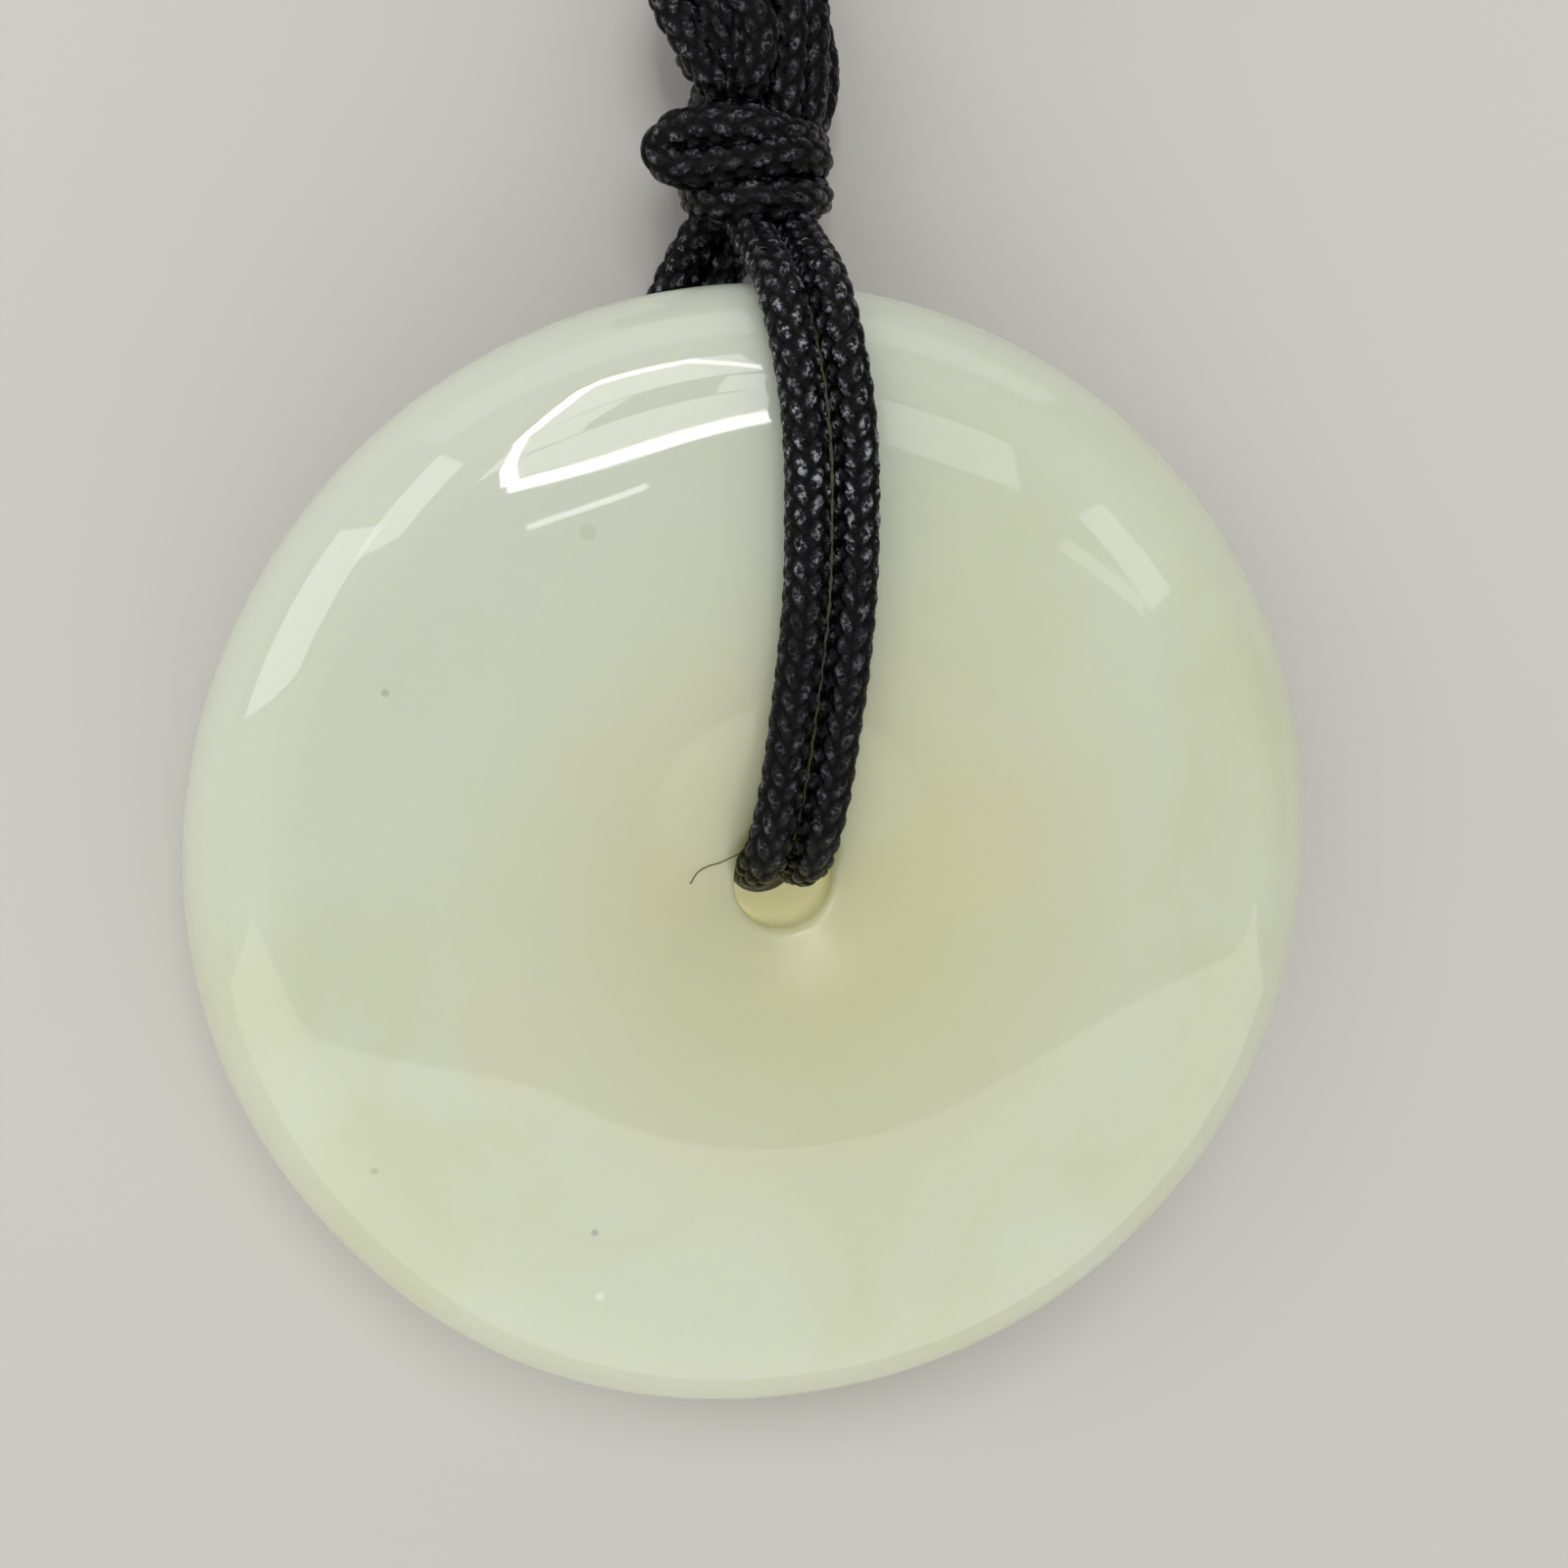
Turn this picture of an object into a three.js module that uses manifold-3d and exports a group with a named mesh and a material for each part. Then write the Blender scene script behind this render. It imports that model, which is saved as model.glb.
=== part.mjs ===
// A polished jade disc with a small central hole, on a black braided cord.
// Millimetres, +Z up. The pendant lies loose: the disc on its back, its upper edge raised by
// the doubled cord that passes under it. The origin is on the floor, under the middle of the disc.

import * as THREE from 'three';
import { mergeVertices } from 'three/addons/utils/BufferGeometryUtils.js';
import Module from 'manifold-3d';

const wasm = await Module();
wasm.setup();

// The disc, measured from its flat back.
const DISC_RADIUS = 24;
const DISC_THICKNESS = 8.8;
const HOLE_RADIUS = 2.05;
const CREST_RADIUS = 10.5; // where the front face is highest
const DOME_CURVE = 67.8; // radius of the face's curve from the crest out to the rim
const DISH_CURVE = 26.6; // radius of the face's curve from the crest in to the hole
const RIM_ROUND = 4.6; // round of the front edge
const FRONT_MOUTH_ROUND = 1.2;
const BACK_MOUTH_ROUND = 1.4;
const SECTION_STEPS = { mouth: 5, dish: 4, dome: 4, rim: 8, backEdge: 7, backMouth: 4 };
const DISC_SEGMENTS = 60;

// The cord. Its solids are a little thinner than the cord, so that strands side by side don't touch.
const CORD_DIAMETER = 1.9;
const STRAND_SPACE = 0.04; // between two cords side by side
const STRAND_GAP = 0.24; // between their solids
const CORD_SIDES = 8;
const WINDING_SEGMENTS = 20;
const FILLING_SHARE = 0.96; // of the cord's diameter, how far what fills a winding reaches along it
const CORE_SEGMENTS = [16, 10]; // around the core and from end to end
const UNDER_CLEARANCE = 0.35; // between the disc's back and the strands that pass under it
const UNDER_BEND_Y = 4.2; // how far up the back the strands have turned level

// The neck cord, coiled: turns lie beside and on each other, a diameter apart.
const COIL_CENTRE = [0.5, 56.5];
const COIL_INNER_TRACK = 10;
const COIL_TRACKS = 2;
const COIL_LAYERS = 4;
const COIL_ROUND_SHARE = 0.9; // of the cord's radius, the round of its section's corners
const COIL_ROUND_STEPS = 2;
const COIL_SEGMENTS = 40;

const CORD_SPACING = CORD_DIAMETER + STRAND_SPACE;
const STRAND_RADIUS = (CORD_SPACING - STRAND_GAP) / 2;
const CORD_RADIUS = CORD_DIAMETER / 2;

const jade = new THREE.MeshStandardMaterial({ color: 0xc6cbae, roughness: 0.12, metalness: 0 });
const cord = new THREE.MeshStandardMaterial({ color: 0x17171a, roughness: 0.6, metalness: 0 });

function arc(centreX, centreY, radius, from, to, steps) {
  const points = [];
  for (let i = 0; i <= steps; i += 1) {
    const angle = from + ((to - from) * i) / steps;
    points.push(new THREE.Vector2(centreX + radius * Math.cos(angle), centreY + radius * Math.sin(angle)));
  }
  return points;
}

// The slope where an edge's round runs on smoothly into the face's curve. reach is the distance
// from the crest to the round's centre.
function joinSlope(reach, faceCurve, round) {
  return Math.asin(reach / (faceCurve - round));
}

// The disc's section, out from the hole over the front face, round the rim and back underneath.
function discSection() {
  const quarter = Math.PI / 2;
  const mouthX = HOLE_RADIUS + FRONT_MOUTH_ROUND;
  const mouthSlope = joinSlope(CREST_RADIUS - mouthX, DISH_CURVE, FRONT_MOUTH_ROUND);
  const dishCentreY = DISC_THICKNESS - DISH_CURVE;
  const mouthY = dishCentreY + (DISH_CURVE - FRONT_MOUTH_ROUND) * Math.cos(mouthSlope);
  const rimX = DISC_RADIUS - RIM_ROUND;
  const rimSlope = joinSlope(rimX - CREST_RADIUS, DOME_CURVE, RIM_ROUND);
  const domeCentreY = DISC_THICKNESS - DOME_CURVE;
  const rimY = domeCentreY + (DOME_CURVE - RIM_ROUND) * Math.cos(rimSlope);
  const backX = DISC_RADIUS - rimY;
  const backMouthX = HOLE_RADIUS + BACK_MOUTH_ROUND;
  const section = [
    ...arc(mouthX, mouthY, FRONT_MOUTH_ROUND, Math.PI, quarter + mouthSlope, SECTION_STEPS.mouth),
    ...arc(CREST_RADIUS, dishCentreY, DISH_CURVE, quarter + mouthSlope, quarter, SECTION_STEPS.dish).slice(1),
    ...arc(CREST_RADIUS, domeCentreY, DOME_CURVE, quarter, quarter - rimSlope, SECTION_STEPS.dome).slice(1),
    ...arc(rimX, rimY, RIM_ROUND, quarter - rimSlope, 0, SECTION_STEPS.rim).slice(1),
    ...arc(backX, rimY, rimY, 0, -quarter, SECTION_STEPS.backEdge).slice(1),
    ...arc(backMouthX, BACK_MOUTH_ROUND, BACK_MOUTH_ROUND, -quarter, -Math.PI, SECTION_STEPS.backMouth),
  ];
  section.push(section[0].clone());
  return { section, backX };
}

// A ring turned about the vertical axis from a section that closes on itself, given clockwise.
function turnedRing(section, segments) {
  const geometry = new THREE.LatheGeometry([...section].reverse(), segments);
  geometry.rotateX(Math.PI / 2);
  return geometry;
}

function named(name, geometry, material) {
  const mesh = new THREE.Mesh(geometry, material);
  mesh.name = name;
  return mesh;
}

function vectors(points) {
  return points.map(([x, y, z]) => new THREE.Vector3(x, y, z));
}

// A strand along a route, as an eight-sided tube.
function strand(points, steps) {
  const section = new THREE.Shape();
  for (let i = 0; i < CORD_SIDES; i += 1) {
    const angle = ((i + 0.5) / CORD_SIDES) * 2 * Math.PI;
    const x = STRAND_RADIUS * Math.cos(angle);
    const y = STRAND_RADIUS * Math.sin(angle);
    if (i === 0) section.moveTo(x, y);
    else section.lineTo(x, y);
  }
  section.closePath();
  const route = new THREE.CatmullRomCurve3(vectors(points), false, 'centripetal');
  return new THREE.ExtrudeGeometry(section, { steps, extrudePath: route, bevelEnabled: false });
}

// Solids from closed geometries, for joining a knot's windings.
function solidOf(geometry) {
  const bare = geometry.index ? geometry.toNonIndexed() : geometry.clone();
  bare.deleteAttribute('normal');
  bare.deleteAttribute('uv');
  const merged = mergeVertices(bare, 1e-4);
  return new wasm.Manifold(
    new wasm.Mesh({
      numProp: 3,
      vertProperties: new Float32Array(merged.attributes.position.array),
      triVerts: new Uint32Array(merged.index.array),
    }),
  );
}

function geometryOf(solid) {
  const mesh = solid.getMesh();
  const geometry = new THREE.BufferGeometry();
  geometry.setAttribute('position', new THREE.BufferAttribute(new Float32Array(mesh.vertProperties), 3));
  geometry.setIndex(new THREE.BufferAttribute(new Uint32Array(mesh.triVerts), 1));
  geometry.computeVertexNormals();
  return geometry;
}

// One turn of the cord round the strands that a knot binds, with those strands filling it. It
// stands across the run of the cord, is half[0] wide and half[1] high from its middle to the
// middle of the cord, and its left side is raised along the run by slope, in radians.
function winding({ at, half, slope }) {
  const turn = new THREE.TorusGeometry(half[1], CORD_RADIUS, CORD_SIDES, WINDING_SEGMENTS);
  turn.rotateX(Math.PI / 2);
  const fillingLength = CORD_DIAMETER * FILLING_SHARE;
  const filling = new THREE.CylinderGeometry(half[1], half[1], fillingLength, WINDING_SEGMENTS);
  return [turn, filling].map((piece) => {
    piece.scale(half[0] / half[1], 1, 1);
    piece.rotateZ(-slope);
    piece.translate(...at);
    return piece;
  });
}

// The strands that run on from winding to winding inside a knot, as one rounded core.
function core({ at, size }) {
  const body = new THREE.SphereGeometry(1, ...CORE_SEGMENTS);
  body.scale(...size);
  body.translate(...at);
  return body;
}

function knot(windings, cores) {
  const solids = [...windings.flatMap(winding), ...cores.map(core)].map(solidOf);
  return geometryOf(solids.slice(1).reduce((whole, piece) => whole.add(piece), solids[0]));
}

const { section, backX } = discSection();
const tilt = Math.atan2(CORD_DIAMETER + UNDER_CLEARANCE, backX + UNDER_BEND_Y);

const disc = turnedRing(section, DISC_SEGMENTS);
disc.rotateX(tilt);
disc.computeBoundingBox();
const middle = disc.boundingBox.getCenter(new THREE.Vector3());
disc.translate(-middle.x, -middle.y, -disc.boundingBox.min.z);

// The middle line between the two strands that hang the disc, chosen by hand: out of the knot,
// over the rim and the face, down the hole, and back to the knot under the disc.
const HANGING_ROUTE = [
  [0.55, 25.75, 7.3],
  [0.65, 24.9, 8.7],
  [0.7, 24.0, 10.4],
  [0.8, 22.9, 11.6],
  [1.0, 21.2, 12.5],
  [1.25, 19.2, 12.9],
  [1.42, 16.8, 13.0],
  [1.43, 14.2, 12.93],
  [1.35, 11.6, 12.8],
  [1.12, 8.8, 12.48],
  [0.85, 6.4, 12.05],
  [0.55, 3.7, 11.35],
  [0.3, 2.2, 10.9],
  [0.1, 0.85, 9.93],
  [0.02, 0.23, 8.5],
  [0.0, 0.06, 7.0],
  [0.0, 0.1, 5.8],
  [0.0, 0.28, 4.6],
  [-0.03, 0.68, 3.07],
  [-0.12, 1.6, 1.82],
  [-0.35, 3.05, 1.12],
  [-0.6, 4.7, 0.95],
  [-1.1, 7.8, 0.95],
  [-1.75, 11.4, 0.95],
  [-2.35, 15.2, 0.95],
  [-2.75, 19.0, 0.97],
  [-2.75, 21.9, 1.1],
  [-2.3, 23.9, 1.55],
  [-1.4, 25.8, 2.2],
];
const HANGING_STEPS = 40;

// The two ends of the neck cord, from the upper knot to the coil, chosen by hand.
const FIRST_LEAD_ROUTE = [
  [-1.3, 39.9, 2.6],
  [-1.9, 41.0, 1.9],
  [-2.9, 42.4, 1.25],
  [-3.6, 43.3, 1.0],
];
const LAST_LEAD_ROUTE = [
  [1.9, 39.9, 3.0],
  [2.6, 41.0, 3.6],
  [3.7, 42.4, 4.6],
  [4.5, 43.3, 5.3],
];
const LEAD_STEPS = 4;

// Each strand runs beside the middle line, half a spacing to its side.
function beside(route, side) {
  return route.map(([x, y, z]) => [x + (side * CORD_SPACING) / 2, y, z]);
}

// The windings of the two knots. The lower one binds the strands from the front and the back of
// the disc, the upper one holds the ends of the neck cord.
const LOWER_WINDINGS = [
  { at: [0.35, 27.0, 3.85], half: [2.3, 2.9], slope: 0.03 },
  { at: [-0.75, 28.95, 3.75], half: [2.95, 2.8], slope: 0.1 },
  { at: [-0.95, 30.3, 3.6], half: [2.75, 2.65], slope: 0.16 },
];
const LOWER_CORES = [{ at: [-0.2, 28.6, 3.75], size: [2.9, 2.9, 3.1] }];
const UPPER_WINDINGS = [
  { at: [1.0, 33.0, 3.3], half: [2.1, 2.35], slope: -0.1 },
  { at: [-0.5, 35.0, 3.3], half: [3.0, 2.35], slope: 0.5 },
  { at: [-0.6, 36.8, 3.3], half: [3.0, 2.35], slope: 0.42 },
  { at: [0.2, 38.4, 3.1], half: [2.4, 2.15], slope: 0.05 },
];
const UPPER_CORES = [{ at: [0.2, 35.7, 3.3], size: [3.0, 3.9, 2.9] }];

// The coil's outer shape: a ring with a rounded section.
function coilGeometry() {
  const inner = COIL_INNER_TRACK - CORD_RADIUS;
  const outer = COIL_INNER_TRACK + (COIL_TRACKS - 1) * CORD_DIAMETER + CORD_RADIUS;
  const height = COIL_LAYERS * CORD_DIAMETER;
  const round = CORD_RADIUS * COIL_ROUND_SHARE;
  const corner = (x, y, from) => arc(x, y, round, from, from - Math.PI / 2, COIL_ROUND_STEPS);
  const outline = [
    ...corner(outer - round, height - round, Math.PI / 2),
    ...corner(outer - round, round, 0),
    ...corner(inner + round, round, -Math.PI / 2),
    ...corner(inner + round, height - round, -Math.PI),
  ];
  outline.push(outline[0].clone());
  const ring = turnedRing(outline, COIL_SEGMENTS);
  ring.translate(COIL_CENTRE[0], COIL_CENTRE[1], 0);
  return ring;
}

const pendant = new THREE.Group();
pendant.add(
  named('jade_disc', disc, jade),
  named('hanging_strand_left', strand(beside(HANGING_ROUTE, -1), HANGING_STEPS), cord),
  named('hanging_strand_right', strand(beside(HANGING_ROUTE, 1), HANGING_STEPS), cord),
  named('lower_knot', knot(LOWER_WINDINGS, LOWER_CORES), cord),
  named('upper_knot', knot(UPPER_WINDINGS, UPPER_CORES), cord),
  named('neck_cord_first_end', strand(FIRST_LEAD_ROUTE, LEAD_STEPS), cord),
  named('neck_cord_last_end', strand(LAST_LEAD_ROUTE, LEAD_STEPS), cord),
  named('neck_cord_coil', coilGeometry(), cord),
);

export default pendant;
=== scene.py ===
"""The looks of a polished jade disc pendant that lies on its black braided cord."""

import math

import bpy
import numpy as np
from mathutils import Matrix, Vector, noise


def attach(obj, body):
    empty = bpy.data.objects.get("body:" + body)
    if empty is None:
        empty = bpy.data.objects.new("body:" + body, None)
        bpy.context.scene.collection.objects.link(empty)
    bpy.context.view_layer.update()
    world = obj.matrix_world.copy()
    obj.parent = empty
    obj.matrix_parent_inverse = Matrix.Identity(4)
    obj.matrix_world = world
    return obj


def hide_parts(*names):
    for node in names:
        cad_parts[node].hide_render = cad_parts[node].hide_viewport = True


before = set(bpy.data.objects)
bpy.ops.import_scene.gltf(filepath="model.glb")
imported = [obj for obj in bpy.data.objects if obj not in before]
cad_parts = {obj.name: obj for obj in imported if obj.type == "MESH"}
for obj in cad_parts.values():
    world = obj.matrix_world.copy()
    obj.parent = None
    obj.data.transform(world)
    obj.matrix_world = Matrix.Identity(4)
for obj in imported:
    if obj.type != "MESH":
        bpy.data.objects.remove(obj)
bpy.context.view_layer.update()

MM = 0.001

# The disc, in millimetres, as the solid has it.
DISC_RADIUS = 24
DISC_THICKNESS = 8.8
HOLE_RADIUS = 2.05
CREST_RADIUS = 10.5
DOME_CURVE = 67.8
DISH_CURVE = 26.6
RIM_ROUND = 4.6
FRONT_MOUTH_ROUND = 1.2
BACK_MOUTH_ROUND = 1.4

# The cord, in millimetres.
CORD_DIAMETER = 1.9
STRAND_SPACE = 0.04
CORD_SPACING = CORD_DIAMETER + STRAND_SPACE
UNDER_CLEARANCE = 0.35  # between the cord and the back of the disc
UNDER_BEND_Y = 4.2  # where the cord has turned level under the disc

# The coil of the neck cord, in millimetres.
COIL_CENTRE = (0.5, 56.5)
COIL_INNER_TRACK = 10
COIL_TURNS = 7.75
COIL_START_ANGLE = math.radians(225)
COIL_SHIFT = 0.15  # the share of a turn in which the cord changes its track
POINTS_PER_TURN = 24


def join_slope(reach, face_curve, edge_round):
    return math.asin(reach / (face_curve - edge_round))


# The middle of the rim's round, where the flat back ends, and the tilt at which the disc lies.
RIM_X = DISC_RADIUS - RIM_ROUND
RIM_SLOPE = join_slope(RIM_X - CREST_RADIUS, DOME_CURVE, RIM_ROUND)
RIM_Y = DISC_THICKNESS - DOME_CURVE + (DOME_CURVE - RIM_ROUND) * math.cos(RIM_SLOPE)
BACK_X = DISC_RADIUS - RIM_Y
TILT = math.atan2(CORD_DIAMETER + UNDER_CLEARANCE, BACK_X + UNDER_BEND_Y)


def disc_matrix():
    """From the disc's own frame, with its back at z = 0, to the scene, in millimetres."""
    c, s = math.cos(TILT), math.sin(TILT)
    north = BACK_X * c - RIM_Y * s + RIM_Y
    south = RIM_X * c + RIM_Y * s + RIM_ROUND
    lift = RIM_Y + BACK_X * s - RIM_Y * c
    return Matrix.Translation((0, (south - north) / 2, lift)) @ Matrix.Rotation(TILT, 4, "X")


DISC_TO_SCENE = disc_matrix()


# Camera

# The camera's place: its distance from the point of the disc that it looks at, and how far it
# leans from the disc's normal, toward the upper left.
CAMERA_DISTANCE = 88.5
CAMERA_LEAN = math.radians(14.9)
CAMERA_SIDE = math.radians(136.2)
CAMERA_TARGET = (0.25, 3.77, 6.0)
PHOTO_SIZE = 1600
FOCAL_PIXELS = 2193
SENSOR_MM = 36
NEAREST_SEEN = 0.005  # in metres


def make_camera():
    toward = Vector(
        (
            math.sin(CAMERA_LEAN) * math.cos(CAMERA_SIDE),
            math.sin(CAMERA_LEAN) * math.sin(CAMERA_SIDE),
            math.cos(CAMERA_LEAN),
        )
    )
    turn = DISC_TO_SCENE.to_3x3()
    back = turn @ toward
    right = (turn @ Vector((0, 1, 0))).cross(back).normalized()
    up = back.cross(right)
    place = DISC_TO_SCENE @ (Vector(CAMERA_TARGET) + CAMERA_DISTANCE * toward)
    data = bpy.data.cameras.new("camera")
    data.sensor_width = SENSOR_MM
    data.lens = SENSOR_MM * FOCAL_PIXELS / PHOTO_SIZE
    data.clip_start = NEAREST_SEEN
    camera = bpy.data.objects.new("camera", data)
    facing = Matrix((right, up, back)).transposed().to_4x4()
    camera.matrix_world = Matrix.Translation(place * MM) @ facing
    bpy.context.scene.collection.objects.link(camera)
    bpy.context.scene.camera = camera


make_camera()


# Cords

# The route between the two strands that hang the disc, and the neck cord's ends, in millimetres.
HANGING_ROUTE = [
    (0.5, 28.0, 4.7),
    (0.52, 27.0, 5.3),
    (0.54, 26.3, 6.3),
    (0.55, 25.75, 7.3),
    (0.65, 24.9, 8.7),
    (0.7, 24.0, 10.4),
    (0.8, 22.9, 11.6),
    (1.0, 21.2, 12.5),
    (1.25, 19.2, 12.9),
    (1.42, 16.8, 13.0),
    (1.43, 14.2, 12.93),
    (1.35, 11.6, 12.8),
    (1.12, 8.8, 12.48),
    (0.85, 6.4, 12.05),
    (0.55, 3.7, 11.35),
    (0.3, 2.2, 10.9),
    (0.1, 0.85, 9.93),
    (0.02, 0.23, 8.5),
    (0.0, 0.06, 7.0),
    (0.0, 0.1, 5.8),
    (0.0, 0.28, 4.6),
    (-0.03, 0.68, 3.07),
    (-0.12, 1.6, 1.82),
    (-0.35, 3.05, 1.12),
    (-0.6, 4.7, 0.95),
    (-1.1, 7.8, 0.95),
    (-1.75, 11.4, 0.95),
    (-2.35, 15.2, 0.95),
    (-2.75, 19.0, 0.97),
    (-2.75, 21.9, 1.1),
    (-2.3, 23.9, 1.55),
    (-1.4, 25.8, 2.2),
    (-0.6, 27.1, 2.7),
    (-0.2, 28.3, 3.0),
]
FIRST_LEAD_ROUTE = [
    (-1.0, 38.6, 3.1),
    (-1.3, 39.9, 2.6),
    (-1.9, 41.0, 1.9),
    (-2.9, 42.4, 1.25),
    (-3.9, 43.7, 0.98),
    (-5.9, 46.0, 0.95),
]
LAST_LEAD_ROUTE = [
    (7.0, 46.0, 6.5),
    (4.9, 43.8, 5.6),
    (3.7, 42.4, 4.6),
    (2.6, 41.0, 3.6),
    (1.9, 39.9, 3.0),
    (1.4, 38.6, 2.9),
]


def smooth(t):
    t = min(max(t, 0.0), 1.0)
    return t * t * (3 - 2 * t)


def coil_route():
    """The turns of the coil: two turns a layer, out and in by turns, a diameter apart."""
    points = []
    count = round(COIL_TURNS * POINTS_PER_TURN)
    for i in range(count + 1):
        turn = COIL_TURNS * i / count
        layer_turn = turn % 2
        layer = int(turn // 2)
        inward = smooth((layer_turn - 1 + COIL_SHIFT) / COIL_SHIFT)
        out = 1 - inward if layer % 2 == 0 else inward
        rise = layer + smooth((layer_turn - 2 + 2 * COIL_SHIFT) / COIL_SHIFT)
        radius = COIL_INNER_TRACK + out * CORD_DIAMETER
        angle = COIL_START_ANGLE - 2 * math.pi * turn
        points.append(
            (
                COIL_CENTRE[0] + radius * math.cos(angle),
                COIL_CENTRE[1] + radius * math.sin(angle),
                CORD_DIAMETER * (rise + 0.5),
            )
        )
    return points


SPLINE_STEPS = 12  # points computed between two given ones


def spline(points, step, closed=False):
    """Points step apart on a smooth curve through the given ones, a centripetal Catmull-Rom."""
    p = np.array(points, float)
    if closed:
        p = np.vstack([p[-1], p, p[0], p[1]])
    else:
        p = np.vstack([2 * p[0] - p[1], p, 2 * p[-1] - p[-2]])
    fine = []
    for a, b, c, d in zip(p[:-3], p[1:-2], p[2:-1], p[3:]):
        t0 = 0.0
        t1 = t0 + math.sqrt(np.linalg.norm(b - a))
        t2 = t1 + math.sqrt(np.linalg.norm(c - b))
        t3 = t2 + math.sqrt(np.linalg.norm(d - c))
        t = np.linspace(t1, t2, SPLINE_STEPS, endpoint=False)[:, None]
        ab = (t1 - t) / (t1 - t0) * a + (t - t0) / (t1 - t0) * b
        bc = (t2 - t) / (t2 - t1) * b + (t - t1) / (t2 - t1) * c
        cd = (t3 - t) / (t3 - t2) * c + (t - t2) / (t3 - t2) * d
        abc = (t2 - t) / (t2 - t0) * ab + (t - t0) / (t2 - t0) * bc
        bcd = (t3 - t) / (t3 - t1) * bc + (t - t1) / (t3 - t1) * cd
        fine.append((t2 - t) / (t2 - t1) * abc + (t - t1) / (t2 - t1) * bcd)
    fine = np.vstack(fine + [p[-2][None]])
    along = np.concatenate([[0], np.cumsum(np.linalg.norm(np.diff(fine, axis=0), axis=1))])
    count = max(2, round(along[-1] / step))
    at = np.linspace(0, along[-1], count + 1)
    line = np.stack([np.interp(at, along, fine[:, k]) for k in range(3)], axis=1)
    return line[:-1] if closed else line


def frames(line, outward=None):
    """Two axes across the line at each of its points. They turn as little as they can, or one
    of them points away from outward, the middle of a closed loop."""
    closed = outward is not None
    if closed:
        tangent = np.roll(line, -1, axis=0) - np.roll(line, 1, axis=0)
    else:
        tangent = np.gradient(line, axis=0)
    tangent /= np.linalg.norm(tangent, axis=1)[:, None]
    normal = np.zeros_like(line)
    if closed:
        normal = line - outward
    else:
        n = np.cross(tangent[0], (0.0, 0.0, 1.0))
        if np.linalg.norm(n) < 0.1:
            n = np.cross(tangent[0], (1.0, 0.0, 0.0))
        for i, t in enumerate(tangent):
            n = n - (n @ t) * t
            n = n / np.linalg.norm(n)
            normal[i] = n
    normal -= (normal * tangent).sum(1)[:, None] * tangent
    normal /= np.linalg.norm(normal, axis=1)[:, None]
    return normal, np.cross(tangent, normal)


# The braid. Its lengths are in millimetres.
YARNS = 8  # in each of its two directions
NECK_YARNS = 6
YARN_REPEAT = 1.0  # how far along the cord one yarn's place is taken by the next
YARN_RELIEF = 0.2  # height of the grain
GROOVE = 0.42  # how high the crossings of the yarns stand, as a share of their height
YARN_FULLNESS = 0.8  # below 1 the tops of the yarns are broad
CORD_WANDER = 0.012  # how far the cord's radius wanders along it
WANDER_POINTS = 24
FUZZ = 0.007  # how rough the fibres leave the surface


def braid_height(u, v):
    """The braid's relief from 0 to 1: two families of yarns, each over two and under two."""
    a, b = u + v, u - v
    i, j = np.floor(a), np.floor(b)
    round_a = np.sqrt(np.clip(1 - (2 * (a - i) - 1) ** 2, 0, 1))
    round_b = np.sqrt(np.clip(1 - (2 * (b - j) - 1) ** 2, 0, 1))
    over_a = 0.5 * round_a + 0.5 * np.cos(math.pi / 2 * (b + i - 1))
    over_b = 0.5 * round_b + 0.5 * np.cos(math.pi / 2 * (a + j - 3))
    return np.clip((np.maximum(over_a, over_b) - GROOVE) / (1 - GROOVE), 0, 1) ** YARN_FULLNESS


def braid_mesh(line, around, seed, closed_about=None, yarns=YARNS):
    """Points, faces and grain of a braided cord along a line, with closed ends. The grain is the
    height of each point between the grooves, 0, and the tops of the yarns, 1."""
    closed = closed_about is not None
    normal, across = frames(line, closed_about)
    rings = len(line)
    step = np.linalg.norm(line[1] - line[0])
    repeats = rings * step / YARN_REPEAT
    if closed:
        repeats = round(repeats)
    v = np.arange(rings)[:, None] / rings * repeats
    angle = np.arange(around)[None] / around * 2 * math.pi
    u = yarns * angle / (2 * math.pi)
    rng = np.random.default_rng(seed)
    offsets = np.append(rng.uniform(-CORD_WANDER, CORD_WANDER, WANDER_POINTS - 1), 0)
    wander = np.interp(np.arange(rings), np.linspace(0, rings, WANDER_POINTS), offsets)
    wander *= np.sin(np.linspace(0, math.pi, rings)) if closed else 1
    grain = braid_height(u, v)
    relief = YARN_RELIEF * (grain - 1)
    rough = rng.normal(0, FUZZ, relief.shape)
    r = CORD_DIAMETER / 2 + relief + rough + wander[:, None]
    points = (
        line[:, None]
        + (r * np.cos(angle))[..., None] * normal[:, None]
        + (r * np.sin(angle))[..., None] * across[:, None]
    ).reshape(-1, 3)
    spans = rings if closed else rings - 1
    i = np.arange(spans)[:, None]
    k = np.arange(around)[None]
    here, there = i * around, ((i + 1) % rings) * around
    faces = np.stack(
        [here + k, here + (k + 1) % around, there + (k + 1) % around, there + k], axis=-1
    ).reshape(-1, 4)
    faces = faces.tolist()
    if not closed:
        last = (rings - 1) * around
        points = np.vstack([points, line[0], line[-1]])
        grain = np.append(grain.reshape(-1), [0, 0])
        for m in range(around):
            n = (m + 1) % around
            faces.append([n, m, len(points) - 2])
            faces.append([last + m, last + n, len(points) - 1])
    return points, faces, grain.reshape(-1)


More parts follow.
